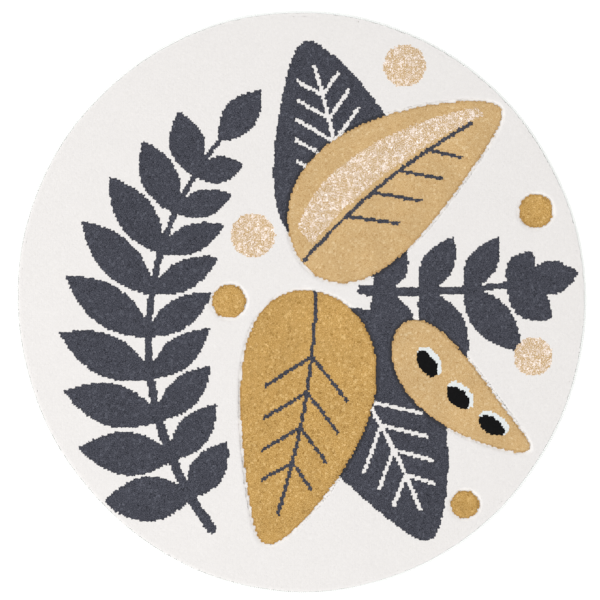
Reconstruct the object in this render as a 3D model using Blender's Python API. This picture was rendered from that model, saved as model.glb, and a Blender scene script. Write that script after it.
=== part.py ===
"""Round short-pile kids rug, about 1.2 m across, lying flat.

Two pieces are built: the woven pile field, whose face is carved along the outlines of
its broad leaves, pod and berries, and the serged yarn binding that grips its edge.
Units are metres and +Z is up. +Y is the top of the rug as one looks down on it.
"""
import math

import bmesh
import bpy
from mathutils import Vector

# ------------------------------------------------------------------ driving dimensions
RUG_RADIUS = 0.600           # mean radius, to the outside of the binding
PILE_TOP = 0.0125            # floor to the tips of the pile
PILE_SHOULDER = 0.0040       # rounding of the pile above the binding
CLOTH_LIFT = 0.0022          # floor to the ground cloth where the binding passes under it
CLOTH_THICKNESS = 0.0026     # ground cloth alone, at its edge
BINDING_WIDTH = 0.0080       # seen from above
BINDING_HEIGHT = 0.0095
BINDING_GRIP = 0.0046        # how far the binding reaches over the cloth's edge
BINDING_LIP = 0.0004         # thickness of the binding's inner edge
GAP = 0.0003                 # clearance between the two pieces

CONTOUR_INNER = 0.0025       # carved line at the pile's tips, inside the outline
CONTOUR_OUTER = 0.0105       # and outside it, where the blade leaves a slope
CONTOUR_FLOOR = 0.0022       # its bottom, from the outline outwards
CONTOUR_DEPTH = 0.0045
CONTOUR_STEP = 0.012         # length of one straight stretch of a carved line
CUTTER_PROUD = 0.0015        # how far a cutter stands above the pile

RIM_STEPS = 120              # straight stretches round the rim
SHOULDER_STEPS = 3           # steps in the pile's rounded shoulder
BINDING_STEPS = 8            # steps round the binding's outer skin
BINDING_CENTRE = 0.42        # height of the binding's widest place, as a share of its own

# The rim strays a little from a circle. Each row is a wave that runs round it.
# waves round the rim, cosine share of the radius, sine share of the radius
RIM_WAVES = (
    (2, -0.0110, -0.0036),
    (3, -0.0009, 0.0029),
    (4, 0.0013, -0.0003),
    (7, 0.0006, 0.0004),
    (11, -0.0004, 0.0005),
    (17, 0.0003, -0.0003),
)

# Leaves and pod whose outlines are carved. Turn is the way the tip points.
# name, middle x, middle y, turn in degrees, length, width, bow
LEAVES = (
    ("upper_leaf", 0.208, 0.244, 38.0, 0.520, 0.272, 0.026),
    ("lower_leaf", -0.020, -0.240, -101.0, 0.535, 0.280, 0.022),
    ("seed_pod", 0.340, -0.178, -44.0, 0.370, 0.140, -0.024),
)
LEAF_TAPER = 0.45            # how much broader a leaf is near its stalk than near its tip
LEAF_ROUND = 2.2             # length of a leaf's outline, in lengths of the leaf

# Berries whose outlines are carved.
# name, middle x, middle y, radius
BERRIES = (
    ("left_berry", -0.150, 0.002, 0.034),
    ("right_berry", 0.488, 0.190, 0.034),
    ("low_berry", 0.340, -0.420, 0.028),
)
BERRY_STEPS = 24

# Colours of the yarns, as red, green, blue in linear light.
CREAM = (0.69, 0.68, 0.66)
BINDING_CREAM = (0.90, 0.91, 0.90)
YARN_ROUGHNESS = 0.95


# ------------------------------------------------------------------ small tools
def clear_scene():
    """Remove what a new file starts with."""
    for item in list(bpy.data.objects):
        bpy.data.objects.remove(item, do_unlink=True)


def yarn_material(name, colour):
    """Matt yarn of one colour."""
    material = bpy.data.materials.new(name)
    material.use_nodes = True
    shader = material.node_tree.nodes["Principled BSDF"]
    shader.inputs["Base Color"].default_value = (*colour, 1.0)
    shader.inputs["Roughness"].default_value = YARN_ROUGHNESS
    shader.inputs["Metallic"].default_value = 0.0
    return material


def add_object(name, mesh_data, material=None):
    """Link a finished bmesh as a named object."""
    mesh = bpy.data.meshes.new(name)
    mesh_data.to_mesh(mesh)
    mesh_data.free()
    item = bpy.data.objects.new(name, mesh)
    bpy.context.scene.collection.objects.link(item)
    if material is not None:
        mesh.materials.append(material)
    return item


def loft(rings, closed_section):
    """Join closed rings of equal length with quads. The first ring follows the last if the
    section is closed; otherwise the first and last rings are filled."""
    shape = bmesh.new()
    rows = [[shape.verts.new(point) for point in ring] for ring in rings]
    steps = len(rings[0])
    last = len(rows) if closed_section else len(rows) - 1
    for row in range(last):
        here, there = rows[row], rows[(row + 1) % len(rows)]
        for step in range(steps):
            ahead = (step + 1) % steps
            shape.faces.new((here[step], here[ahead], there[ahead], there[step]))
    if not closed_section:
        shape.faces.new(reversed(rows[0]))
        shape.faces.new(rows[-1])
    bmesh.ops.recalc_face_normals(shape, faces=shape.faces[:])
    return shape


# ------------------------------------------------------------------ the rim
def rim_radius(angle):
    """Distance from the rug's middle to the outside of its binding."""
    stray = sum(cosine * math.cos(waves * angle) + sine * math.sin(waves * angle)
                for waves, cosine, sine in RIM_WAVES)
    return RUG_RADIUS * (1.0 + stray)


def rim_points(inset, height):
    """The rim drawn in by an inset, at one height, before it is centred."""
    points = []
    for step in range(RIM_STEPS):
        angle = 2.0 * math.pi * step / RIM_STEPS
        radius = rim_radius(angle) - inset
        points.append(Vector((radius * math.cos(angle), radius * math.sin(angle), height)))
    return points


def rim_centre():
    """Middle of the rim's own box, which is the origin of the part."""
    outside = rim_points(0.0, 0.0)
    xs = [point.x for point in outside]
    ys = [point.y for point in outside]
    return Vector(((min(xs) + max(xs)) / 2.0, (min(ys) + max(ys)) / 2.0, 0.0))


def rim_ring(inset, height):
    """One centred ring of points that follows the rim."""
    centre = rim_centre()
    return [point - centre for point in rim_points(inset, height)]


# ------------------------------------------------------------------ carved contours
def leaf_half_width(along, width):
    """Half the width of a leaf. Along runs from -1 at the stalk to 1 at the tip."""
    broadest = (1.0 - math.sqrt(1.0 + 8.0 * LEAF_TAPER ** 2)) / (4.0 * LEAF_TAPER)
    full = math.sqrt(1.0 - broadest ** 2) * (1.0 - LEAF_TAPER * broadest)
    return width / 2.0 * math.sqrt(1.0 - along ** 2) * (1.0 - LEAF_TAPER * along) / full


def leaf_outline(middle_x, middle_y, turn, length, width, bow):
    """Closed outline of a leaf, counter-clockwise, at about the contour's step."""
    steps = round(LEAF_ROUND * length / CONTOUR_STEP)
    heading = math.radians(turn)
    outline = []
    for step in range(steps):
        sweep = 2.0 * math.pi * step / steps
        along = math.cos(sweep)
        side = 1.0 if math.sin(sweep) >= 0.0 else -1.0
        forward = along * length / 2.0
        across = side * leaf_half_width(along, width) + bow * (1.0 - along ** 2)
        outline.append(Vector((
            middle_x + forward * math.cos(heading) - across * math.sin(heading),
            middle_y + forward * math.sin(heading) + across * math.cos(heading),
        )))
    return outline


def berry_outline(middle_x, middle_y, radius):
    """Closed outline of a round berry, counter-clockwise."""
    outline = []
    for step in range(BERRY_STEPS):
        sweep = 2.0 * math.pi * step / BERRY_STEPS
        outline.append(Vector((middle_x + radius * math.cos(sweep),
                               middle_y + radius * math.sin(sweep))))
    return outline


def shifted(outline, reach, height):
    """A closed outline moved outwards by a reach, at one height."""
    ring = []
    for index, point in enumerate(outline):
        before = outline[index - 1]
        after = outline[(index + 1) % len(outline)]
        way = (after - before).normalized()
        outward = Vector((way.y, -way.x))
        moved = point + outward * reach
        ring.append(Vector((moved.x, moved.y, height)))
    return ring


def contour_cutter(name, outline):
    """The body that a carving blade takes out of the pile along one outline: steep on the
    inside, sloping on the outside."""
    top = PILE_TOP + CUTTER_PROUD
    bottom = PILE_TOP - CONTOUR_DEPTH
    rise = 1.0 + CUTTER_PROUD / CONTOUR_DEPTH
    inner = CONTOUR_INNER * rise
    outer = CONTOUR_FLOOR + (CONTOUR_OUTER - CONTOUR_FLOOR) * rise
    rings = [shifted(outline, -inner, top), shifted(outline, outer, top),
             shifted(outline, CONTOUR_FLOOR, bottom), shifted(outline, 0.0, bottom)]
    cutter = add_object(name, loft(rings, closed_section=True))
    cutter.hide_render = True
    cutter.display_type = "WIRE"
    return cutter


def carve(field, cutter):
    """Take one cutter out of the field."""
    cut = field.modifiers.new(cutter.name, "BOOLEAN")
    cut.operation = "DIFFERENCE"
    cut.solver = "EXACT"
    cut.object = cutter


# ------------------------------------------------------------------ the two pieces
def make_field():
    """Ground cloth and pile, woven as one. Its edge is bare cloth, inside the binding."""
    wall = BINDING_WIDTH + GAP
    edge = BINDING_WIDTH - BINDING_GRIP + GAP
    cloth_top = CLOTH_LIFT + CLOTH_THICKNESS
    section = [(wall, 0.0), (wall, CLOTH_LIFT), (edge, CLOTH_LIFT), (edge, cloth_top),
               (wall, cloth_top)]
    for step in range(SHOULDER_STEPS + 1):
        sweep = math.pi / 2.0 * step / SHOULDER_STEPS
        section.append((wall + PILE_SHOULDER * (1.0 - math.cos(sweep)),
                        PILE_TOP - PILE_SHOULDER * (1.0 - math.sin(sweep))))
    rings = [rim_ring(inset, height) for inset, height in section]
    field = add_object("rug_field", loft(rings, closed_section=False),
                       yarn_material("cream pile yarn", CREAM))
    for name, middle_x, middle_y, turn, length, width, bow in LEAVES:
        outline = leaf_outline(middle_x, middle_y, turn, length, width, bow)
        carve(field, contour_cutter(name + "_contour", outline))
    for name, middle_x, middle_y, radius in BERRIES:
        outline = berry_outline(middle_x, middle_y, radius)
        carve(field, contour_cutter(name + "_contour", outline))
    return field


def make_binding():
    """Yarn whipped over the cloth's edge: a rounded skin outside, a slot inside."""
    centre_height = BINDING_CENTRE * BINDING_HEIGHT
    rise = BINDING_HEIGHT - centre_height
    half = BINDING_WIDTH / 2.0
    grip_top = CLOTH_LIFT + CLOTH_THICKNESS + GAP
    grip_bottom = CLOTH_LIFT - GAP
    inner_height = grip_top + BINDING_LIP
    start = -math.asin(centre_height / rise)
    finish = math.pi - math.asin((inner_height + BINDING_LIP - centre_height) / rise)
    section = []
    for step in range(BINDING_STEPS + 1):
        sweep = start + (finish - start) * step / BINDING_STEPS
        section.append((half - half * math.cos(sweep),
                        max(0.0, centre_height + rise * math.sin(sweep))))
    slot = BINDING_WIDTH - BINDING_GRIP
    section += [(BINDING_WIDTH, inner_height), (BINDING_WIDTH, grip_top), (slot, grip_top),
                (slot, grip_bottom), (BINDING_WIDTH, grip_bottom), (BINDING_WIDTH, 0.0)]
    rings = [rim_ring(inset, height) for inset, height in section]
    return add_object("edge_binding", loft(rings, closed_section=True),
                      yarn_material("cream binding yarn", BINDING_CREAM))


clear_scene()
make_field()
make_binding()
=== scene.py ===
import math

import bpy
import numpy as np
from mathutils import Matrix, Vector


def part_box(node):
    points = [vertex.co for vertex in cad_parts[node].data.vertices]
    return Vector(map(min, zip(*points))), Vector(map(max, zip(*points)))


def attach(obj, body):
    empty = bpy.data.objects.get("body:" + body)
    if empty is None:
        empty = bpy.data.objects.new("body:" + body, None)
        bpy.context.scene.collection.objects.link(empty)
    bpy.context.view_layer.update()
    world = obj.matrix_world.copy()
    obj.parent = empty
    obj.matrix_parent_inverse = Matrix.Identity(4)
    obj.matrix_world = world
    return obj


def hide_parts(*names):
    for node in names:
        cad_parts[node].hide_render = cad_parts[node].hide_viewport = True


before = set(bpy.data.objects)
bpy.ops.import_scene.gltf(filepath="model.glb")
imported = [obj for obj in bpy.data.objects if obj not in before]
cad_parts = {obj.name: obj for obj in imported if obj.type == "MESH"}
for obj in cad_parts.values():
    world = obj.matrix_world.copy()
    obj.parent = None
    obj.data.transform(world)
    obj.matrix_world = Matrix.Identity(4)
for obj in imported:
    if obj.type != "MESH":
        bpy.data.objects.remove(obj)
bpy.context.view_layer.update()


# ---------------------------------------------------------------------------------------
# The room: a plain pale floor, seen from straight above as in the photograph, in soft
# white light from all round. A big softbox at the lower left adds a little, so that the
# sides of the carved lines that face away from it are darker.
# ---------------------------------------------------------------------------------------
PHOTO_SIDE = 600                       # pixels
PHOTO_METRES_PER_PIXEL = 1.200 / 575.4  # the rug's mean diameter, in metres and in pixels
PHOTO_RUG_MIDDLE = (301.2, 302.5)      # pixel at the middle of the rug's box
CAMERA_HEIGHT = 3.4
SENSOR_WIDTH = 0.036
FLOOR_SIDE = 9.0
FLOOR_DROP = 0.0004                    # keeps the floor off the rug's underside
SURROUND_STRENGTH = 1.04
LAMP_SIDE = 3.8
SOFTBOX_PLACE = (-3.8, -2.1, 3.8)
SOFTBOX_WATTS = 130.0
FLOOR_LAMP_PLACE = (0.0, 0.0, 3.8)
FLOOR_LAMP_WATTS = 26.0


def linear(hex_colour):
    """An sRGB hex colour as linear light, opaque."""
    parts = [int(hex_colour[place:place + 2], 16) / 255.0 for place in (1, 3, 5)]
    light = [part / 12.92 if part <= 0.04045 else ((part + 0.055) / 1.055) ** 2.4
             for part in parts]
    return (*light, 1.0)


def add(tree, kind, inputs=None, output=None, **settings):
    """Add one node with its settings, and fill or link its inputs by name or number. It
    gives the output of that name, or else the first that its settings switch on."""
    node = tree.nodes.new(kind)
    for name, value in settings.items():
        setattr(node, name, value)
    for name, value in (inputs or {}).items():
        if isinstance(name, int):
            socket = node.inputs[name]
        else:
            socket = next(s for s in node.inputs if s.name == name and s.enabled)
        if isinstance(value, bpy.types.NodeSocket):
            tree.links.new(value, socket)
        else:
            socket.default_value = value
    return next((s for s in node.outputs if s.enabled and output in (None, s.name)), None)


def new_material(name):
    """An empty material with its output, and its Principled shader."""
    material = bpy.data.materials.new(name)
    material.use_nodes = True
    tree = material.node_tree
    tree.nodes.clear()
    surface = add(tree, "ShaderNodeBsdfPrincipled")
    add(tree, "ShaderNodeOutputMaterial", {"Surface": surface})
    return material, tree, surface.node


def plain_mesh_object(name, points, faces):
    """An object at the origin with its place in its mesh."""
    mesh = bpy.data.meshes.new(name)
    mesh.from_pydata(points, [], faces)
    mesh.update()
    item = bpy.data.objects.new(name, mesh)
    bpy.context.scene.collection.objects.link(item)
    return item


floor_half = FLOOR_SIDE / 2.0
floor = plain_mesh_object(
    "floor",
    [(x, y, -FLOOR_DROP) for x, y in ((-floor_half, -floor_half), (floor_half, -floor_half),
                                      (floor_half, floor_half), (-floor_half, floor_half))],
    [(0, 1, 2, 3)])
# Rolled matt emulsion: it throws light back evenly and shows no highlight.
floor_paint, _, floor_shader = new_material("matt pale floor paint")
floor_shader.inputs["Base Color"].default_value = linear("#FDFDFC")
floor_shader.inputs["Roughness"].default_value = 0.8
floor.data.materials.append(floor_paint)

surround = bpy.data.worlds.new("soft surround")
surround.use_nodes = True
surround.node_tree.nodes["Background"].inputs["Color"].default_value = linear("#FFFFFF")
surround.node_tree.nodes["Background"].inputs["Strength"].default_value = SURROUND_STRENGTH
bpy.context.scene.world = surround


def hang_lamp(name, place, watts, floor_link):
    """A square lamp that faces the rug, and leaves out the floor or lights it alone."""
    lamp = bpy.data.objects.new(name, bpy.data.lights.new(name, "AREA"))
    lamp.data.shape = "SQUARE"
    lamp.data.size = LAMP_SIDE
    lamp.data.energy = watts
    lamp.location = place
    lamp.rotation_euler = (-lamp.location).to_track_quat("-Z", "Y").to_euler()
    bpy.context.scene.collection.objects.link(lamp)
    linked = bpy.data.collections.new(name + " and the floor")
    linked.objects.link(floor)
    linked.collection_objects[0].light_linking.link_state = floor_link
    lamp.light_linking.receiver_collection = linked


# The softbox lights the rug alone, and the lamp overhead the floor alone, so that the
# floor stays evenly white right up to the rug, as in the photograph.
hang_lamp("softbox", SOFTBOX_PLACE, SOFTBOX_WATTS, "EXCLUDE")
hang_lamp("floor_lamp", FLOOR_LAMP_PLACE, FLOOR_LAMP_WATTS, "INCLUDE")

camera = bpy.data.objects.new("camera", bpy.data.cameras.new("camera"))
camera.data.sensor_width = SENSOR_WIDTH * 1000.0
camera.data.lens = camera.data.sensor_width * CAMERA_HEIGHT / (
    PHOTO_SIDE * PHOTO_METRES_PER_PIXEL)
camera.location = ((PHOTO_SIDE / 2.0 - PHOTO_RUG_MIDDLE[0]) * PHOTO_METRES_PER_PIXEL,
                   (PHOTO_RUG_MIDDLE[1] - PHOTO_SIDE / 2.0) * PHOTO_METRES_PER_PIXEL,
                   CAMERA_HEIGHT)
bpy.context.scene.collection.objects.link(camera)
bpy.context.scene.camera = camera
bpy.context.scene.view_settings.view_transform = "Standard"


# ---------------------------------------------------------------------------------------
# Ground cloth: the woven back that holds the pile, pale warp over undyed jute weft.
# It is cut to the rug's slightly uneven round, lies flat on the floor, and lifts a little
# at its edge, where the binding yarn passes under it.
# ---------------------------------------------------------------------------------------
RUG_RADIUS = 0.600            # mean, to the outside of the binding
BINDING_WIDTH = 0.0080        # seen from above
BINDING_GRIP = 0.0046         # how far the binding reaches over the cloth
CLOTH_THICKNESS = 0.0026
CLOTH_LIFT = 0.0022           # height of the cloth's edge off the floor
CLOTH_RISE_END = 0.0160       # inset from the rim where the cloth lies level again
CLOTH_REACH = 0.95            # how far inwards its rings run, as a share of the radius
CLOTH_STEPS = 180
CLOTH_BANDS = 9
RIM_SAMPLES = 720             # places round the rim at which its width is taken
TUFT_PITCH = 0.0039           # from one tuft to the next, both ways

# waves round the rim, cosine share of the radius, sine share of the radius
RIM_WAVES = (
    (2, -0.0110, -0.0036),
    (3, -0.0009, 0.0029),
    (4, 0.0013, -0.0003),
    (7, 0.0006, 0.0004),
    (11, -0.0004, 0.0005),
    (17, 0.0003, -0.0003),
)

binding_low, binding_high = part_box("edge_binding")
PILE_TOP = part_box("rug_field")[1].z
RUG_WIDTH = binding_high.x - binding_low.x
RUG_LENGTH = binding_high.y - binding_low.y


def raw_rim_radius(angle):
    """Distance from the rim's own middle to the outside of the binding."""
    stray = sum(cosine * np.cos(waves * angle) + sine * np.sin(waves * angle)
                for waves, cosine, sine in RIM_WAVES)
    return RUG_RADIUS * (1.0 + stray)


round_trip = np.linspace(0.0, 2.0 * np.pi, RIM_SAMPLES, endpoint=False)
raw_x = raw_rim_radius(round_trip) * np.cos(round_trip)
raw_y = raw_rim_radius(round_trip) * np.sin(round_trip)
RIM_MIDDLE = ((binding_low.x + binding_high.x - raw_x.min() - raw_x.max()) / 2.0,
              (binding_low.y + binding_high.y - raw_y.min() - raw_y.max()) / 2.0)


def rim_line(steps, inset, height):
    """Points round the rim, drawn in by an inset."""
    angle = 2.0 * np.pi * np.arange(steps) / steps
    radius = raw_rim_radius(angle) - inset
    return np.stack([RIM_MIDDLE[0] + radius * np.cos(angle),
                     RIM_MIDDLE[1] + radius * np.sin(angle),
                     np.full(steps, height)], axis=1)


def rim_inset(x, y):
    """How far inside the rim a place is."""
    across, up = x - RIM_MIDDLE[0], y - RIM_MIDDLE[1]
    return raw_rim_radius(np.arctan2(up, across)) - np.hypot(across, up)


def bridged(rings, steps):
    """Faces of a closed body of equal rings: quads from each to the next, and two ends."""
    faces = []
    for ring in range(rings - 1):
        here, there = ring * steps, (ring + 1) * steps
        faces += [(here + step, here + (step + 1) % steps,
                   there + (step + 1) % steps, there + step) for step in range(steps)]
    faces.append(tuple(reversed(range(steps))))
    faces.append(tuple(range((rings - 1) * steps, rings * steps)))
    return faces


cloth_edge = BINDING_WIDTH - BINDING_GRIP
cloth_insets = [cloth_edge, (cloth_edge + CLOTH_RISE_END) / 2.0, CLOTH_RISE_END]
cloth_insets += [CLOTH_RISE_END + CLOTH_REACH * RUG_RADIUS * band / CLOTH_BANDS
                 for band in range(1, CLOTH_BANDS + 1)]


def cloth_underside(inset):
    """Height of the cloth's underside: level, and rising softly at the edge."""
    share = min(1.0, max(0.0, (CLOTH_RISE_END - inset) / (CLOTH_RISE_END - cloth_edge)))
    return CLOTH_LIFT * share * share * (3.0 - 2.0 * share)


cloth_rings = [rim_line(CLOTH_STEPS, inset, cloth_underside(inset))
               for inset in reversed(cloth_insets)]
cloth_rings += [rim_line(CLOTH_STEPS, inset, cloth_underside(inset) + CLOTH_THICKNESS)
                for inset in cloth_insets]
cloth = plain_mesh_object("ground_cloth", np.concatenate(cloth_rings).tolist(),
                          bridged(len(cloth_rings), CLOTH_STEPS))


def worked(tree, first, second, operation="ADD"):
    """Two numbers or two vectors worked into one. A sine, say, uses the first alone."""
    kind = "ShaderNodeVectorMath" if first.type == "VECTOR" else "ShaderNodeMath"
    return add(tree, kind, {0: first, 1: second}, operation=operation)


def between(tree, value, low, high, to_low, to_high):
    """A value's place in one range, given in another."""
    return add(tree, "ShaderNodeMapRange", {
        "Value": value, "From Min": low, "From Max": high, "To Min": to_low,
        "To Max": to_high})


def noise(tree, place, grain, detail=2.0, roughness=0.5, output="Fac"):
    """Noise with grains of a real size."""
    return add(tree, "ShaderNodeTexNoise", {
        "Vector": place, "Scale": 1.0 / grain, "Detail": detail, "Roughness": roughness},
        output)


def mixed(tree, share, first, second, blend="MIX"):
    """A share of a second colour laid over a first."""
    return add(tree, "ShaderNodeMix", {"Factor": share, "A": first, "B": second},
               data_type="RGBA", blend_type=blend)


# Plain weave: jute weft and a paler warp cross each other at the tufts' own pitch, which
# gives the back its small even grain. Matt, undyed, a little hairy.
WEFT_COLOUR, WARP_COLOUR = "#C2B38E", "#D8D0BA"
JUTE_HAIR = 0.0011
THREAD_RELIEF = 0.0006
backing, tree, shader = new_material("plain woven jute backing")
place = add(tree, "ShaderNodeTexCoord", output="Object")
thread_waves = []                      # they change sign from one thread to the next
for axis in "XY":
    along_axis = add(tree, "ShaderNodeSeparateXYZ", {"Vector": place}, axis)
    half_turns = worked(tree, along_axis, math.pi / TUFT_PITCH, "MULTIPLY")
    thread_waves.append(worked(tree, half_turns, 0.0, "SINE"))
crossing = worked(tree, *thread_waves, "MULTIPLY")
thread_colour = mixed(tree, between(tree, crossing, -0.5, 0.5, 0.0, 1.0),
                      linear(WEFT_COLOUR), linear(WARP_COLOUR))
hair = noise(tree, place, JUTE_HAIR, detail=3.0, output="Color")
thread_bump = add(tree, "ShaderNodeBump", {
    "Strength": 0.8, "Distance": THREAD_RELIEF,
    "Height": worked(tree, crossing, 0.0, "ABSOLUTE")})
tree.links.new(mixed(tree, 0.35, thread_colour, hair, "SOFT_LIGHT"),
               shader.inputs["Base Color"])
tree.links.new(thread_bump, shader.inputs["Normal"])
shader.inputs["Roughness"].default_value = 0.9
cloth.data.materials.append(backing)
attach(cloth, "root")
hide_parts("rug_field")


# ---------------------------------------------------------------------------------------
# The woven design: which yarn each tuft is made of. A loom can only change colour from
# one tuft to the next, so the outlines step in small teeth. It shows leafy sprays, four
# broad leaves, a seed pod and berries, all made of arcs and simple curves.
# ---------------------------------------------------------------------------------------
STALK_WIDTH = 0.022
STALK_TAPER = 0.5             # how much thinner a stalk is at its tip
STALK_STEPS = 120
VEIN_WIDTH = 0.0078           # two tufts
VEIN_REACH = 0.76             # how far the middle vein runs towards the tip
SIDE_VEIN_LEAN = 0.9
SIDE_VEIN_REACH = 0.64        # share of the leaf's half width
SIDE_VEIN_HALF = 0.62         # half its width along the leaf, in vein widths
LEAF_TAPER = 0.45             # how much broader a leaf is near its stalk than near its tip
HEATHER_BAND = (0.10, 0.62)   # share of the half width, on one side of the middle vein
HEATHER_ENDS = 0.86           # how near to the leaf's two ends the heather runs
SEED_SIZE = (0.030, 0.017)    # half length along the pod, half width
SEED_WHITE = 0.0042           # how far the white shows round a seed
SEED_WHITE_SHIFT = 1.6        # how far the white lies to one side, in its own widths

# name, start x, start y, heading in degrees, length, bend in degrees, pairs of leaflets,
# longest leaflet, leaflet width
SPRAYS = (
    ("left_spray", -0.186, -0.470, 127.0, 0.900, -79.0, 9, 0.186, 0.084),
    ("right_spray", 0.128, 0.026, -4.0, 0.350, 14.0, 4, 0.156, 0.084),
)
OUTER_LEAFLETS = 1.14         # how much larger leaflets are on the outside of the bend
INNER_LEAFLETS = 0.86
PAIRS_START, PAIRS_SPAN = 0.09, 0.78  # stretch of the stalk that has pairs, as shares of it
LEAST_LEAFLET = 0.62          # share of the longest, beyond which leaflets swell and shrink
SWELL_START, SWELL_SPAN = 0.15, 0.75  # part of a half wave that this follows
TIP_PAIRS_FROM = 0.6          # share of the stalk from which leaflets shrink further
TIP_PAIRS_LOSS = 0.35         # and how much they have lost at its tip
LEAFLET_THINNING = 0.25       # how much narrower leaflets are at the tip of the stalk
FOOT_SPREAD, SPREAD_LOSS = 66.0, 22.0  # degrees between leaflet and stalk, and loss at its tip
TIP_LEAFLET = (0.97, 0.72, 0.85)  # place on the stalk, share of longest and of width
LEAFLET_BLUNTNESS = 0.05      # where on its half wave a leaflet's outline starts
LEAFLET_FULLNESS = 0.9        # power of that half wave: the lower, the fuller

# name, middle x, middle y, turn in degrees, length, width, bow, yarn, yarn of its veins,
# where side veins leave the middle one (stalk -1, tip 1), sides that have them, carved
LEAVES = (
    ("top_leaf", 0.052, 0.322, 101.0, 0.450, 0.280, -0.018, "charcoal", "cream",
     (-0.62, -0.40, -0.18, 0.04, 0.26, 0.48), (-1, 1), False),
    ("side_leaf", 0.142, -0.262, -61.0, 0.525, 0.310, 0.024, "charcoal", "cream",
     (-0.20, 0.02, 0.24, 0.46), (-1, 1), False),
    ("upper_leaf", 0.208, 0.244, 38.0, 0.520, 0.272, 0.026, "light_ochre", "charcoal",
     (-0.50, -0.22, 0.06, 0.34), (-1,), True),
    ("lower_leaf", -0.020, -0.240, -101.0, 0.535, 0.280, 0.022, "ochre", "charcoal",
     (-0.50, -0.22, 0.06, 0.34), (-1, 1), True),
    ("seed_pod", 0.340, -0.178, -44.0, 0.370, 0.140, -0.024, "light_ochre", None,
     (), (), True),
)
SEEDS_AT = (-0.092, 0.003, 0.094)  # along the pod, from its middle

# name, middle x, middle y, radius, yarn, carved
BERRIES = (
    ("left_berry", -0.150, 0.002, 0.034, "ochre", True),
    ("right_berry", 0.488, 0.190, 0.034, "ochre", True),
    ("low_berry", 0.340, -0.420, 0.028, "ochre", True),
    ("middle_berry", -0.100, 0.140, 0.046, "heather", False),
    ("side_berry", 0.482, -0.112, 0.040, "heather", False),
    ("top_berry", 0.215, 0.492, 0.044, "heather", False),
)
YARN_ORDER = ("cream", "charcoal", "ochre", "light_ochre", "heather", "black", "white")

columns = np.arange(math.ceil(RUG_WIDTH / TUFT_PITCH))
rows = np.arange(math.ceil(RUG_LENGTH / TUFT_PITCH))
loom_x, loom_y = np.meshgrid(binding_low.x + (columns + 0.5) * TUFT_PITCH,
                             binding_low.y + (rows + 0.5) * TUFT_PITCH)
design = np.zeros(loom_x.shape, int)


def weave_in(places, yarn):
    """Give the tufts at these places a yarn."""
    design[places] = YARN_ORDER.index(yarn)


def turned(middle_x, middle_y, turn):
    """Places on the loom, seen from a middle: along its turn, and across it."""
    across_x, up_y = loom_x - middle_x, loom_y - middle_y
    return (across_x * math.cos(turn) + up_y * math.sin(turn),
            up_y * math.cos(turn) - across_x * math.sin(turn))


def spray_place(start_x, start_y, heading, length, bend, share):
    """A place on a spray's stalk, an arc, and the way that the stalk runs there."""
    way = heading + bend * share
    radius = length / bend
    return (start_x + radius * (math.sin(way) - math.sin(heading)),
            start_y - radius * (math.cos(way) - math.cos(heading)), way)


def weave_leaflet(root_x, root_y, turn, length, width):
    """One leaflet, pointed at its root and at its tip."""
    along, across = turned(root_x, root_y, turn)
    share = np.clip(along / length, 0.0, 1.0)
    wave = np.sin(math.pi * (LEAFLET_BLUNTNESS + (1.0 - LEAFLET_BLUNTNESS) * share))
    half = width / 2.0 * wave.clip(0.0) ** LEAFLET_FULLNESS
    weave_in((along > 0.0) & (along < length) & (np.abs(across) < half), "charcoal")


def weave_spray(start_x, start_y, heading, length, bend, pairs, longest, width):
    """A bent stalk with leaflets in pairs, shorter towards both of its ends."""
    arc = (start_x, start_y, math.radians(heading), length, math.radians(bend))
    for pair in range(pairs):
        share = PAIRS_START + PAIRS_SPAN * pair / (pairs - 1)
        root_x, root_y, way = spray_place(*arc, share)
        swell = math.sin(math.pi * (SWELL_START + SWELL_SPAN * share))
        size = longest * (LEAST_LEAFLET + (1.0 - LEAST_LEAFLET) * swell)
        size *= 1.0 - TIP_PAIRS_LOSS * max(0.0, share - TIP_PAIRS_FROM) / (1.0 - TIP_PAIRS_FROM)
        spread = math.radians(FOOT_SPREAD - SPREAD_LOSS * share)
        for side in (-1.0, 1.0):
            grow = INNER_LEAFLETS if side * bend > 0.0 else OUTER_LEAFLETS
            weave_leaflet(root_x, root_y, way + side * spread, grow * size,
                          grow * width * (1.0 - LEAFLET_THINNING * share))
    tip_share, tip_length, tip_width = TIP_LEAFLET
    weave_leaflet(*spray_place(*arc, tip_share), tip_length * longest, tip_width * width)
    for share in np.linspace(0.0, 1.0, STALK_STEPS):
        at_x, at_y, way = spray_place(*arc, share)
        thick = STALK_WIDTH / 2.0 * (1.0 - STALK_TAPER * share)
        weave_in(np.hypot(loom_x - at_x, loom_y - at_y) < thick, "charcoal")


def leaf_half_width(along, width):
    """Half the width of a leaf. Along runs from -1 at the stalk to 1 at the tip."""
    broadest = (1.0 - math.sqrt(1.0 + 8.0 * LEAF_TAPER ** 2)) / (4.0 * LEAF_TAPER)
    full = math.sqrt(1.0 - broadest ** 2) * (1.0 - LEAF_TAPER * broadest)
    along = np.clip(along, -1.0, 1.0)
    return width / 2.0 * np.sqrt(1.0 - along ** 2) * (1.0 - LEAF_TAPER * along) / full


def weave_leaf(middle_x, middle_y, turn, length, width, bow, yarn):
    """One broad leaf. It gives the places in it, and where they lie along and across it."""
    forward, across = turned(middle_x, middle_y, math.radians(turn))
    along = forward / (length / 2.0)
    across = across - bow * (1.0 - along ** 2)
    half = leaf_half_width(along, width)
    inside = (np.abs(along) < 1.0) & (np.abs(across) < half)
    weave_in(inside, yarn)
    return inside, along, across, half


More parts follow.
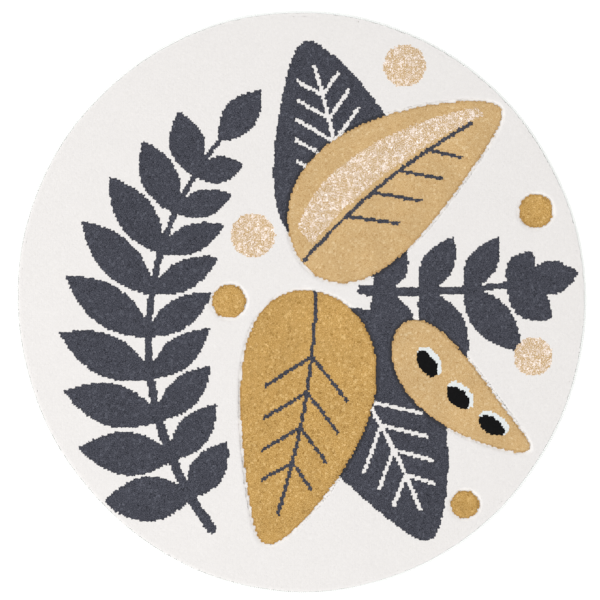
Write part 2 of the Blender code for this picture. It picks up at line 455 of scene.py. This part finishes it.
def weave_veins(leaf, length, yarn, starts, sides):
    """A drawn line up the leaf's middle, and shorter ones that leave it at a slant."""
    inside, along, across, half = leaf
    weave_in(inside & (np.abs(across) < VEIN_WIDTH / 2.0) & (along < VEIN_REACH), yarn)
    for start in starts:
        off = (along - start) * length / 2.0 - np.abs(across) * SIDE_VEIN_LEAN
        line = np.abs(off) < VEIN_WIDTH * SIDE_VEIN_HALF
        reach = np.abs(across) < SIDE_VEIN_REACH * half
        for side in sides:
            weave_in(inside & line & reach & (side * across > 0.0), yarn)


def weave_seeds(leaf, length):
    """Black seeds in a row, each with a little white showing along one side."""
    inside, along, across, _ = leaf
    for middle in SEEDS_AT:
        for yarn, more, shift in (("white", SEED_WHITE, SEED_WHITE * SEED_WHITE_SHIFT),
                                  ("black", 0.0, 0.0)):
            off = (along * length / 2.0 - middle) / (SEED_SIZE[0] + more)
            aside = (across - shift) / (SEED_SIZE[1] + more)
            weave_in(inside & (off ** 2 + aside ** 2 < 1.0), yarn)


within_carving = np.zeros(design.shape, bool)
for name, *spray in SPRAYS:
    weave_spray(*spray)
for name, x, y, turn, length, width, bow, yarn, vein_yarn, starts, sides, carved in LEAVES:
    leaf = weave_leaf(x, y, turn, length, width, bow, yarn)
    within_carving |= leaf[0] & carved
    if name == "upper_leaf":
        inside, along, across, half = leaf
        band = (across > HEATHER_BAND[0] * half) & (across < HEATHER_BAND[1] * half)
        weave_in(inside & band & (np.abs(along) < HEATHER_ENDS), "heather")
    if name == "seed_pod":
        weave_seeds(leaf, length)
    else:
        weave_veins(leaf, length, vein_yarn, starts, sides)
for name, middle_x, middle_y, radius, yarn, carved in BERRIES:
    inside = np.hypot(loom_x - middle_x, loom_y - middle_y) < radius
    weave_in(inside, yarn)
    within_carving |= inside & carved


# ---------------------------------------------------------------------------------------
# Carved lines: the outlines of the ochre leaves, the pod and three berries, along which a
# blade takes a narrow groove out of the pile. Its inner wall is steep, and its outer side
# is a slope. Kept as lines that the pile is cut by.
# ---------------------------------------------------------------------------------------
CONTOUR_INNER = 0.0025        # at the pile's tips, inside the outline
CONTOUR_OUTER = 0.0105        # and outside it
CONTOUR_FLOOR = 0.0022        # its bottom, from the outline outwards
CONTOUR_DEPTH = 0.0045
CONTOUR_STEPS = 240


def line_object(name, loops):
    """Closed loops of points as bare edges."""
    points, edges = [], []
    for loop in loops:
        start = len(points)
        points += [tuple(point) for point in loop]
        edges += [(start + step, start + (step + 1) % len(loop))
                  for step in range(len(loop))]
    mesh = bpy.data.meshes.new(name)
    mesh.from_pydata(points, edges, [])
    item = bpy.data.objects.new(name, mesh)
    bpy.context.scene.collection.objects.link(item)
    return item


def leaf_loop(middle_x, middle_y, turn, length, width, bow):
    """The outline of a leaf, at floor level."""
    sweep = 2.0 * np.pi * np.arange(CONTOUR_STEPS) / CONTOUR_STEPS
    along = np.cos(sweep)
    forward = along * length / 2.0
    across = np.sign(np.sin(sweep)) * leaf_half_width(along, width) + bow * (1 - along ** 2)
    way = math.radians(turn)
    return np.stack([middle_x + forward * math.cos(way) - across * math.sin(way),
                     middle_y + forward * math.sin(way) + across * math.cos(way),
                     np.zeros(CONTOUR_STEPS)], axis=1)


def berry_loop(middle_x, middle_y, radius):
    """The outline of a berry, at floor level."""
    sweep = 2.0 * np.pi * np.arange(CONTOUR_STEPS) / CONTOUR_STEPS
    return np.stack([middle_x + radius * np.cos(sweep), middle_y + radius * np.sin(sweep),
                     np.zeros(CONTOUR_STEPS)], axis=1)


carved_loops = [leaf_loop(*row[1:7]) for row in LEAVES if row[-1]]
carved_loops += [berry_loop(*row[1:4]) for row in BERRIES if row[-1]]
carved_lines = line_object("carved_lines", carved_loops)


# ---------------------------------------------------------------------------------------
# Pile: short tufts of heat-set curly yarn, one at each crossing of the loom, sheared
# level. Their tips wander and lean a little, they are rounded off at the rug's edge, and
# the blade has cut them down along the carved lines.
# ---------------------------------------------------------------------------------------
TUFT_WIDTH = 0.0074           # the tips bloom past the pitch and press on each other
TUFT_SIDES = 6
BLOOM_RISE = 0.90             # where a tuft is broadest, as a share of its height
THINNEST, THICKEST = 0.9, 1.12  # tufts, as shares of the tuft width
HEIGHT_SPREAD = 0.0004
LOWEST, HIGHEST = -1.0, 0.6   # tufts, in height spreads from the pile's top
ROOT_WANDER = 0.0004
TIP_LEAN = 0.0008
EDGE_OVERHANG = 0.0026        # how far over the binding the pile's shoulder starts
EDGE_ROUNDING = 0.0022        # height of that shoulder
EDGE_SHOULDER = 0.0100        # and its width
EDGE_ROOM = 0.0014            # bare cloth between the binding and the first tufts
EDGE_SPACING = 0.6            # least way from those to the loom's own tufts, in pitches
EDGE_FOOT = 0.6               # width of an outermost tuft's foot, as a share of its tips
GROOVE_LEAN = 0.0009          # how far tips lean away from a carved line
MAP_SIDE = 1.28               # real width that the pile's own texture map covers
TIP_ON_MAP, SIDE_ON_MAP = 0.5, 0.9  # reach of tip and sides on that map, in half pitches
TRIANGLES_A_TUFT = 2 * TUFT_SIDES
MOST_TRIANGLES = 190000       # in one piece


def away(turn, reach):
    """A point at some distance from the middle of a tuft, at floor level."""
    return reach * math.cos(turn), reach * math.sin(turn), 0.0


def tuft_object(name, foot_width):
    """A tuft of unit size that stands on a foot, or on a point where that has no width.
    Beside each corner of a face goes its place on the tuft's own patch of the map."""
    turns = [2.0 * math.pi * side / TUFT_SIDES for side in range(TUFT_SIDES + 1)]
    points, faces, flat = [(0.0, 0.0, 0.0), (0.0, 0.0, 1.0)], [], []
    points += [(*away(turn, 0.5)[:2], BLOOM_RISE) for turn in turns[:-1]]
    if foot_width:
        points += [away(turn, foot_width / 2.0) for turn in turns[:-1]]
    for side in range(TUFT_SIDES):
        here, there = 2 + side, 2 + (side + 1) % TUFT_SIDES
        turn, ahead = turns[side:side + 2]
        tip_here, tip_there = away(turn, TIP_ON_MAP), away(ahead, TIP_ON_MAP)
        beyond = away((turn + ahead) / 2.0, SIDE_ON_MAP)
        faces.append((here, there, 1))
        flat += [tip_here, tip_there, (0.0, 0.0, 0.0)]
        if foot_width:
            foot_here, foot_there = here + TUFT_SIDES, there + TUFT_SIDES
            side_here, side_there = away(turn, SIDE_ON_MAP), away(ahead, SIDE_ON_MAP)
            faces += [(there, here, foot_here, foot_there), (foot_there, foot_here, 0)]
            flat += [tip_there, tip_here, side_here, side_there]
            flat += [side_there, side_here, beyond]
        else:
            faces.append((there, here, 0))
            flat += [tip_there, tip_here, beyond]
    item = plain_mesh_object(name, points, faces)
    unfold = item.data.attributes.new("unfold", "FLOAT_VECTOR", "CORNER")
    unfold.data.foreach_set("vector", np.array(flat, np.float32).ravel())
    # the shears leave a crisp edge between a tuft's side and its tip
    crisp = [1 < min(edge.vertices) and max(edge.vertices) < 2 + TUFT_SIDES
             for edge in item.data.edges]
    sharp = item.data.attributes.new("sharp_edge", "BOOLEAN", "EDGE")
    sharp.data.foreach_set("value", crisp)
    return item


# Inside the pile a tuft shows only its tip, so it stands on a point. The outermost row
# shows its sides, so it has a foot.
tuft = tuft_object("tuft", foot_width=0.0)
edge_tuft = tuft_object("edge_tuft", foot_width=EDGE_FOOT)
pile_edge_line = line_object("pile_edge_line", [
    rim_line(RIM_SAMPLES, BINDING_WIDTH - EDGE_OVERHANG, 0.0)])


def new_geometry_tree(name, inputs):
    """A Geometry Nodes tree with a geometry in and out and named inputs."""
    tree = bpy.data.node_groups.new(name, "GeometryNodeTree")
    tree.interface.new_socket("Geometry", in_out="OUTPUT", socket_type="NodeSocketGeometry")
    tree.interface.new_socket("Geometry", in_out="INPUT", socket_type="NodeSocketGeometry")
    for label, kind in inputs:
        tree.interface.new_socket(label, in_out="INPUT", socket_type="NodeSocket" + kind)
    return tree, tree.nodes.new("NodeGroupInput").outputs


def named(tree, name, kind="FLOAT"):
    """Read a named attribute."""
    return add(tree, "GeometryNodeInputNamedAttribute", {"Name": name}, data_type=kind)


def marked(tree, geometry, name, value, kind="FLOAT", domain="POINT"):
    """A geometry with a named attribute written on it."""
    return add(tree, "GeometryNodeStoreNamedAttribute", {
        "Geometry": geometry, "Name": name, "Value": value}, data_type=kind, domain=domain)


def scaled(tree, vector, amount):
    """A vector times a number."""
    return add(tree, "ShaderNodeVectorMath", {"Vector": vector, "Scale": amount},
               operation="SCALE")


def copies(tree, points, form, placing):
    """The mesh of an object, set down at each point and made real."""
    mesh = add(tree, "GeometryNodeObjectInfo", {"Object": form}, "Geometry")
    placed = add(tree, "GeometryNodeInstanceOnPoints", {
        "Points": points, "Instance": mesh, **placing})
    return add(tree, "GeometryNodeRealizeInstances", {"Geometry": placed})


def finish_tree(tree, geometry, leftovers, yarn):
    """Drop the attributes that nothing reads later, smooth the mesh and give it its yarn."""
    for name in leftovers:
        geometry = add(tree, "GeometryNodeRemoveAttribute", {
            "Geometry": geometry, "Name": name})
    geometry = add(tree, "GeometryNodeSetShadeSmooth", {"Geometry": geometry})
    geometry = add(tree, "GeometryNodeSetMaterial", {"Geometry": geometry, "Material": yarn})
    add(tree, "NodeGroupOutput", {"Geometry": geometry})


pile_tree, given = new_geometry_tree("pile of tufts", (
    ("Tuft", "Object"), ("Carved lines", "Object"), ("Pile edge", "Object"),
    ("Tuft width", "Float"), ("Pile foot", "Float"), ("Pile top", "Float"),
    ("Height spread", "Float"), ("Root wander", "Float"), ("Tip lean", "Float"),
    ("Border shade", "Float"), ("Seed", "Int"), ("Yarn", "Material")))


def pile_random(low, high, kind, offset):
    """A random value for each tuft, always the same for the same seed."""
    seed = worked(pile_tree, given["Seed"], float(offset))
    return add(pile_tree, "FunctionNodeRandomValue", {"Min": low, "Max": high, "Seed": seed},
               data_type=kind)


def sideways(reach, offset):
    """A random shift to one side for each tuft, up to a reach."""
    way = pile_random((-1.0, -1.0, 0.0), (1.0, 1.0, 0.0), "FLOAT_VECTOR", offset)
    return scaled(pile_tree, way, reach)


def line_distance(tree, lines, where):
    """Distance from a place to the nearest of some lines, and the way from them to it."""
    source = add(tree, "GeometryNodeObjectInfo", {"Object": lines}, "Geometry")
    level = worked(tree, where, (1.0, 1.0, 0.0), "MULTIPLY")
    nearest = add(tree, "GeometryNodeProximity", {
        "Geometry": source, "Sample Position": level}, "Position", target_element="EDGES")
    apart = worked(tree, level, nearest, "SUBTRACT")
    way = add(tree, "ShaderNodeVectorMath", {0: apart}, operation="NORMALIZE")
    return nearest.node.outputs["Distance"], way


# Roots: how each tuft will lean, and the painted shade that darkens it beside another colour.
here = add(pile_tree, "GeometryNodeInputPosition")
groove_near, groove_way = line_distance(pile_tree, given["Carved lines"], here)
edge_near = line_distance(pile_tree, given["Pile edge"], here)[0]
groove_push = scaled(pile_tree, groove_way, between(
    pile_tree, groove_near, 0.0, CONTOUR_OUTER, GROOVE_LEAN, 0.0))
lean = worked(pile_tree, groove_push, sideways(given["Tip lean"], 1))
# Painted shade: a tuft beside another colour is given a darker tone.
painted_edge_shade = between(pile_tree, named(pile_tree, "border"), 0.0, 1.0, 1.0,
                    given["Border shade"])
shade = worked(pile_tree, pile_random(0.0, 1.0, "FLOAT", 3), painted_edge_shade, "MULTIPLY")
roots = marked(pile_tree, given["Geometry"], "lean", lean, "FLOAT_VECTOR")
roots = marked(pile_tree, roots, "root", here, "FLOAT_VECTOR")
roots = marked(pile_tree, roots, "shade", shade)
roots = add(pile_tree, "GeometryNodeSetPosition", {
    "Geometry": roots, "Offset": sideways(given["Root wander"], 2)})

# One tuft on each root, with its own height, width and turn.
full_height = worked(pile_tree, given["Pile top"], given["Pile foot"], "SUBTRACT")
height = worked(pile_tree, full_height, worked(
    pile_tree, given["Height spread"], pile_random(LOWEST, HIGHEST, "FLOAT", 4), "MULTIPLY"))
girth = worked(pile_tree, given["Tuft width"], pile_random(THINNEST, THICKEST, "FLOAT", 5),
               "MULTIPLY")
tufts = copies(pile_tree, roots, given["Tuft"], {
    "Rotation": add(pile_tree, "ShaderNodeCombineXYZ", {
        "Z": pile_random(0.0, 2.0 * math.pi, "FLOAT", 6)}),
    "Scale": add(pile_tree, "ShaderNodeCombineXYZ", {"X": girth, "Y": girth, "Z": height})})

# The tufts lean over, most at their tips, and are then cut down to the blade's groove and
# the shoulder at the rug's edge.
here_xyz = add(pile_tree, "ShaderNodeSeparateXYZ", {"Vector": here}).node.outputs
rise = between(pile_tree, here_xyz["Z"], given["Pile foot"], given["Pile top"], 0.0, 1.0)
bend = worked(pile_tree, rise, 2.0, "POWER")
tufts = add(pile_tree, "GeometryNodeSetPosition", {
    "Geometry": tufts,
    "Offset": scaled(pile_tree, named(pile_tree, "lean", "FLOAT_VECTOR"), bend)})
proud = PILE_TOP + HEIGHT_SPREAD
groove_floor = PILE_TOP - CONTOUR_DEPTH
inner_wall = between(pile_tree, groove_near, 0.0, CONTOUR_INNER, groove_floor, proud)
outer_slope = between(pile_tree, groove_near, CONTOUR_FLOOR, CONTOUR_OUTER,
                      groove_floor, proud)
blade = between(pile_tree, named(pile_tree, "within"), 0.0, 1.0, outer_slope, inner_wall)
shoulder = worked(pile_tree, between(pile_tree, edge_near, 0.0, EDGE_SHOULDER,
                                     0.0, math.pi / 2.0), 0.0, "SINE")
shoulder = between(pile_tree, shoulder, 0.0, 1.0, PILE_TOP - EDGE_ROUNDING, proud)
lowest_cut = worked(pile_tree, blade, shoulder, "MINIMUM")
sheared = worked(pile_tree, here_xyz["Z"], lowest_cut, "MINIMUM")
tufts = add(pile_tree, "GeometryNodeSetPosition", {
    "Geometry": tufts, "Position": add(pile_tree, "ShaderNodeCombineXYZ", {
        "X": here_xyz["X"], "Y": here_xyz["Y"], "Z": sheared})})

# Each tuft's own patch of the texture map, and which ply of its yarn is on which side.
unfold = named(pile_tree, "unfold", "FLOAT_VECTOR")
on_map = worked(pile_tree, named(pile_tree, "root", "FLOAT_VECTOR"),
                scaled(pile_tree, unfold, TUFT_PITCH / 2.0))
on_map = worked(pile_tree, scaled(pile_tree, on_map, 1.0 / MAP_SIDE), (0.5, 0.5, 0.0))
tufts = marked(pile_tree, tufts, "OFBake", on_map, "FLOAT2", "CORNER")
ply_side = add(pile_tree, "ShaderNodeSeparateXYZ", {"Vector": unfold}, "X")
tufts = marked(pile_tree, tufts, "ply_side", ply_side, "FLOAT", "CORNER")
finish_tree(pile_tree, tufts, ("lean", "root", "unfold", "border", "within"), given["Yarn"])


def grown(item, tree, values):
    """Run a Geometry Nodes tree on an object and keep the result as its plain mesh."""
    modifier = item.modifiers.new(tree.name, "NODES")
    modifier.node_group = tree
    for socket in tree.interface.items_tree:
        if socket.in_out == "INPUT" and socket.name in values:
            modifier[socket.identifier] = values[socket.name]
    graph = bpy.context.evaluated_depsgraph_get()
    mesh = bpy.data.meshes.new_from_object(
        item.evaluated_get(graph), preserve_all_data_layers=True, depsgraph=graph)
    item.modifiers.clear()
    bare, item.data = item.data, mesh
    bpy.data.meshes.remove(bare)
    mesh.name = item.name
    return item


# Heat-set polypropylene pile yarn. It is matt and a little hairy, so its sheen is faint,
# and its curl turns some of each tuft to the light and some away, which gives the flecks.
# The curl is about 1.5 mm long, single fibres show as a fine fuzz, and the mottling of a
# dye lot is 60 mm across. Below the tips the colour turns to a painted deep one, which is
# painted shade: darker for most yarns, and lighter for the cream, to offset the real shade
# between its tufts. In the heather, an ochre and a pale yarn are plied, so a tuft's cut
# end is ochre on one side and pale on the other.
CURL = 0.0015
LIGHT_FLECKS = (0.53, 0.59)   # values of the curl's noise from which light flecks come in
DARK_FLECKS = (0.47, 0.41)    # and dark ones
BODY_STOPS = (0.22, 0.82)     # tufts with a shade between these have the yarn's own colour
FIBRE = 0.0005
FUZZ = 0.06                   # how much lighter and darker single fibres are
MOTTLE = 0.060
MOST_NOISE = (0.3, 0.7)       # where nearly all values of a noise lie
PLIED_TURN = 0.012            # size of the patches in which one of the heather's yarns leads
PLY_CHANGE = (0.43, 0.48)     # values over which one yarn gives way to the other
PLY_SHARE = 0.3               # how strongly the two sides of a tuft differ in yarn
# Painted shade: between these two depths below the tips the colour turns to the deep one.
LIT_DEPTH = 0.0006            # how far below the tips a yarn still has its own colour
DIM_DEPTH = 0.0032            # and how far below them it has its deep one


def pile_yarn(name, dark, body, light, fleck, mottle, painted_deep_shading, plied_with=None):
    """Matt curly yarn, with its darker and lighter flecks and its soft mottling."""
    material, tree, shader = new_material(name)
    place = add(tree, "ShaderNodeTexCoord", output="Object")
    shade = add(tree, "ShaderNodeAttribute", output="Fac", attribute_name="shade")
    colour = add(tree, "ShaderNodeValToRGB", {"Fac": shade})
    stops = colour.node.color_ramp.elements
    stops[0].color, stops[1].color = linear(dark), linear(light)
    for spot in BODY_STOPS:
        stops.new(spot).color = linear(body)
    curl = noise(tree, place, CURL, roughness=0.6)
    depth = add(tree, "ShaderNodeSeparateXYZ", {"Vector": place}, "Z")
    layers = []
    if plied_with is not None:
        plies = noise(tree, place, PLIED_TURN, detail=4.0, roughness=0.7)
        ply_side = add(tree, "ShaderNodeAttribute", output="Fac", attribute_name="ply_side")
        pick = worked(tree, plies, worked(tree, ply_side, PLY_SHARE, "MULTIPLY"))
        layers.append((between(tree, pick, *PLY_CHANGE, 0.0, 1.0), plied_with))
    # The last layer is painted shade, deeper in the pile.
    layers += [(between(tree, curl, *LIGHT_FLECKS, 0.0, fleck), light),
               (between(tree, curl, *DARK_FLECKS, 0.0, fleck), dark),
               (between(tree, depth, PILE_TOP - LIT_DEPTH, PILE_TOP - DIM_DEPTH,
                        0.0, 1.0), painted_deep_shading)]
    for share, layer_colour in layers:
        colour = mixed(tree, share, colour, linear(layer_colour))
    fibre = noise(tree, place, FIBRE)
    strength = worked(tree, between(tree, noise(tree, place, MOTTLE), *MOST_NOISE,
                                    1.0 - mottle, 1.0 + mottle),
                      between(tree, fibre, *MOST_NOISE, 1.0 - FUZZ, 1.0 + FUZZ), "MULTIPLY")
    strength = add(tree, "ShaderNodeCombineColor", {
        "Red": strength, "Green": strength, "Blue": strength})
    tree.links.new(mixed(tree, 1.0, colour, strength, "MULTIPLY"),
                   shader.inputs["Base Color"])
    fuzz = add(tree, "ShaderNodeBump", {"Strength": 0.6, "Distance": FIBRE, "Height": fibre})
    tree.links.new(fuzz, shader.inputs["Normal"])
    shader.inputs["Roughness"].default_value = 0.92
    shader.inputs["IOR"].default_value = 1.49
    shader.inputs["Specular IOR Level"].default_value = 0.15
    shader.inputs["Sheen Weight"].default_value = 0.03
    shader.inputs["Sheen Roughness"].default_value = 0.6
    return material


# yarn: dark fleck, body, light fleck, strength of the flecks, strength of the mottling,
# colour painted deep in the pile as shade (lighter for the cream), and the share of its
# tone that a tuft keeps beside another colour, where it is painted darker as shade
YARNS = {
    "cream": ("#D8D5D3", "#DAD7D5", "#DCD9D7", 0.05, 0.006, "#EBE9E7", 1.0),
    "charcoal": ("#202128", "#3A3B44", "#595B65", 0.95, 0.05, "#393A41", 0.60),
    "ochre": ("#916B2D", "#B68F4F", "#D7B478", 0.80, 0.06, "#A57F44", 0.80),
    "light_ochre": ("#AE8955", "#C1A06F", "#D5BC92", 0.80, 0.05, "#B18E5C", 0.80),
    "heather": ("#A88653", "#E8D9CE", "#FFF8F4", 0.80, 0.05, "#C4A682", 1.0),
    "black": ("#030303", "#040405", "#09090A", 0.50, 0.03, "#030303", 1.0),
    "white": ("#CED3D2", "#D4D8D7", "#D9DCDB", 0.10, 0.01, "#D4D8D8", 1.0),
}
HEATHER_OCHRE = "#BA9966"     # the yarn that the heather's pale one is plied with
YARN_SEEDS, PIECE_SEEDS = 100, 10  # steps in the seed from yarn to yarn, and piece to piece
EDGE_SEED = 90

# The loom's grid stops short of the rim, and one row of cream tufts stands along the
# binding, so that no bare cloth shows between them.
edge_row = rim_line(round(2.0 * math.pi * RUG_RADIUS / TUFT_PITCH),
                    BINDING_WIDTH + EDGE_ROOM, CLOTH_THICKNESS)
on_cloth = rim_inset(loom_x, loom_y) > BINDING_WIDTH + EDGE_ROOM + EDGE_SPACING * TUFT_PITCH
border = np.zeros(design.shape, bool)
for axis in (0, 1):
    for step in (-1, 1):
        border |= np.roll(design, step, axis=axis) != design


def grow_pile(label, yarn, tuft_rows, tuft_form, finish, seed):
    """One piece of pile, from rows of x, y, z, beside another colour, within a carving."""
    piece = plain_mesh_object(label, tuft_rows[:, :3].tolist(), [])
    for column, mark in ((3, "border"), (4, "within")):
        values = piece.data.attributes.new(mark, "FLOAT", "POINT")
        values.data.foreach_set("value", tuft_rows[:, column].astype(np.float32))
    grown(piece, pile_tree, {
        "Tuft": tuft_form, "Carved lines": carved_lines, "Pile edge": pile_edge_line,
        "Tuft width": TUFT_WIDTH, "Pile foot": CLOTH_THICKNESS, "Pile top": PILE_TOP,
        "Height spread": HEIGHT_SPREAD, "Root wander": ROOT_WANDER, "Tip lean": TIP_LEAN,
        "Border shade": YARNS[yarn][-1], "Seed": seed, "Yarn": finish})
    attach(piece, "root")


for code, yarn in enumerate(YARN_ORDER):
    finish = pile_yarn(yarn.replace("_", " ") + " heat-set pile yarn", *YARNS[yarn][:-1],
                       plied_with=HEATHER_OCHRE if yarn == "heather" else None)
    woven = (design == code) & on_cloth
    tuft_rows = np.stack([loom_x[woven], loom_y[woven],
                          np.full(woven.sum(), CLOTH_THICKNESS), border[woven],
                          within_carving[woven]], axis=1)
    parts = math.ceil(len(tuft_rows) * TRIANGLES_A_TUFT / MOST_TRIANGLES)
    for part, chosen in enumerate(np.array_split(tuft_rows, parts)):
        label = yarn + "_pile" + (f"_{part + 1}" if parts > 1 else "")
        grow_pile(label, yarn, chosen, tuft, finish, YARN_SEEDS * code + PIECE_SEEDS * part)
    if yarn == "cream":
        grow_pile("cream_pile_edge", yarn, np.pad(edge_row, ((0, 0), (0, 2))), edge_tuft,
                  finish, EDGE_SEED)
for helper in (tuft, edge_tuft, carved_lines, pile_edge_line):
    bpy.data.objects.remove(helper, do_unlink=True)


# ---------------------------------------------------------------------------------------
# Binding: thick two-ply yarn whipped round the cut edge, turn beside turn. Each turn
# comes out of the cloth beside the pile, passes over the edge and back underneath, and
# slants a little along the rim.
# ---------------------------------------------------------------------------------------
BINDING_CENTRE = 0.42         # height of the binding's widest place, as a share of its own
TURN_PITCH = 0.0045
TURN_WIDTH = 0.0056           # turns press on their neighbours
TURN_THICKNESS = 0.0022
TURN_SLANT = 0.0036           # how far a turn runs along the rim between its two ends
TURN_START = 2.75             # where a turn starts and ends on the section's round, in
TURN_END = -2.40              # radians, with the outermost place at 0 and the top at pi/2
TURN_STEPS = 10
TURN_SIDES = 5
TURN_PINCH = 0.30             # how much narrower a turn's ends are
TURN_WANDER = 0.05            # how far a turn strays from its slant, in radians
WINDING_SEED = 7
TWISTS_A_TURN = 5.0           # plies that cross a turn between its ends
PLY_RELIEF = 0.0003           # how far a ply stands out
BINDING_HEIGHT = binding_high.z
MAP_CELLS = 29                # turns side by side on the binding's texture map
MAP_MARGIN = 0.06             # free edge of a turn's cell there

turn_points, turn_strand = [], []
half_width = BINDING_WIDTH / 2.0 - TURN_THICKNESS / 2.0
centre_height = BINDING_CENTRE * BINDING_HEIGHT
half_rise = BINDING_HEIGHT - centre_height - TURN_THICKNESS / 2.0
for step in range(TURN_STEPS + 1):
    share = step / TURN_STEPS
    sweep = TURN_START + (TURN_END - TURN_START) * share
    out = -BINDING_WIDTH / 2.0 + half_width * math.cos(sweep)
    high = max(TURN_THICKNESS / 2.0, centre_height + half_rise * math.sin(sweep))
    pinch = 1.0 - TURN_PINCH * abs(2.0 * share - 1.0) ** 4
    for side in range(TURN_SIDES):
        around = math.pi / 2.0 + 2.0 * math.pi * side / TURN_SIDES
        bulge = TURN_THICKNESS / 2.0 * math.sin(around)
        turn_points.append((out + bulge * math.cos(sweep),
                            TURN_SLANT * (share - 0.5)
                            + pinch * TURN_WIDTH / 2.0 * math.cos(around),
                            max(0.0, high + bulge * math.sin(sweep))))
        turn_strand.append((math.cos(around), math.sin(around), share))
yarn_turn = plain_mesh_object("yarn_turn", turn_points, bridged(TURN_STEPS + 1, TURN_SIDES))
strand = yarn_turn.data.attributes.new("strand", "FLOAT_VECTOR", "POINT")
strand.data.foreach_set("vector", np.array(turn_strand, np.float32).ravel())
turn_map = []
for row in range(TURN_STEPS):
    for side in range(TURN_SIDES):
        turn_map += [(side, row, 0), (side + 1, row, 0), (side + 1, row + 1, 0), (side, row + 1, 0)]
turn_map += [(0, 0, 0)] * (2 * TURN_SIDES)
turn_map = np.array(turn_map, np.float32) / (TURN_SIDES, TURN_STEPS, 1)
turn_map = (turn_map * (1.0 - 2.0 * MAP_MARGIN) + MAP_MARGIN) * (1, 1, 0)
flat_turn = yarn_turn.data.attributes.new("flat_turn", "FLOAT_VECTOR", "CORNER")
flat_turn.data.foreach_set("vector", turn_map.astype(np.float32).ravel())

winding, given = new_geometry_tree("whipped yarn edge", (
    ("Turn", "Object"), ("Turns", "Int"), ("Wander", "Float"), ("Seed", "Int"),
    ("Yarn", "Material")))
# Evenly spaced turns round the rim's line, each facing outwards with a little sway.
rim_curve = add(winding, "GeometryNodeMeshToCurve", {"Mesh": given["Geometry"]})
rim_curve = add(winding, "GeometryNodeResampleCurve", {
    "Curve": rim_curve, "Count": given["Turns"]})
spots = add(winding, "GeometryNodeCurveToPoints", {"Curve": rim_curve}, mode="EVALUATED")
heading = add(winding, "ShaderNodeSeparateXYZ", {
    "Vector": spots.node.outputs["Tangent"]}).node.outputs
heading = worked(winding, heading["Y"], heading["X"], "ARCTAN2")
sway = add(winding, "FunctionNodeRandomValue", {
    "Min": (0.0, 0.0, -1.0), "Max": (0.0, 0.0, 1.0), "Seed": given["Seed"]},
    data_type="FLOAT_VECTOR")
facing = add(winding, "ShaderNodeCombineXYZ", {
    "Z": worked(winding, heading, math.pi / 2.0, "SUBTRACT")})
facing = worked(winding, facing, scaled(winding, sway, given["Wander"]))
spots = marked(winding, spots, "turn_number", add(winding, "GeometryNodeInputIndex"))
turns = copies(winding, spots, given["Turn"], {"Rotation": facing})
# On the texture map each turn has a cell of its own, row after row.
turn_number = named(winding, "turn_number")
map_row = worked(winding, turn_number, float(MAP_CELLS), "DIVIDE")
cell = add(winding, "ShaderNodeCombineXYZ", {
    "X": worked(winding, turn_number, float(MAP_CELLS), "MODULO"),
    "Y": worked(winding, map_row, 0.0, "FLOOR")})
on_map = worked(winding, cell, named(winding, "flat_turn", "FLOAT_VECTOR"))
turns = marked(winding, turns, "OFBake", scaled(winding, on_map, 1.0 / MAP_CELLS),
               "FLOAT2", "CORNER")
finish_tree(winding, turns, ("turn_number", "flat_turn"), given["Yarn"])

# Two-ply polyester whipping yarn, off-white and a shade cooler than the pile. Its plies
# show as fine slanted ribs across each turn, with painted shade between them.
whipping, tree, shader = new_material("two-ply off-white whipping yarn")
strand = add(tree, "ShaderNodeAttribute", output="Vector", attribute_name="strand")
strand = add(tree, "ShaderNodeSeparateXYZ", {"Vector": strand}).node.outputs
around = worked(tree, strand["Y"], strand["X"], "ARCTAN2")
along = worked(tree, strand["Z"], 2.0 * math.pi * TWISTS_A_TURN, "MULTIPLY")
ply = worked(tree, worked(tree, around, along), 0.0, "SINE")
# Painted shade: the colour is darker in the grooves between the plies.
tree.links.new(mixed(tree, between(tree, ply, -1.0, 0.2, 0.0, 1.0), linear("#EAECEA"),
                     linear("#F5F7F5")), shader.inputs["Base Color"])
hair = noise(tree, add(tree, "ShaderNodeTexCoord", output="Object"), FIBRE)
ply_bump = add(tree, "ShaderNodeBump", {
    "Strength": 0.6, "Distance": PLY_RELIEF,
    "Height": worked(tree, ply, worked(tree, hair, 0.6, "MULTIPLY"))})
tree.links.new(ply_bump, shader.inputs["Normal"])
shader.inputs["Roughness"].default_value = 0.85
shader.inputs["IOR"].default_value = 1.53
shader.inputs["Specular IOR Level"].default_value = 0.3

rim = line_object("edge_whipping", [rim_line(RIM_SAMPLES, 0.0, 0.0)])
whipped_edge = grown(rim, winding, {
    "Turn": yarn_turn, "Turns": round(2.0 * math.pi * RUG_RADIUS / TURN_PITCH),
    "Wander": TURN_WANDER, "Seed": WINDING_SEED, "Yarn": whipping})
bpy.data.objects.remove(yarn_turn, do_unlink=True)
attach(whipped_edge, "root")
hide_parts("edge_binding")
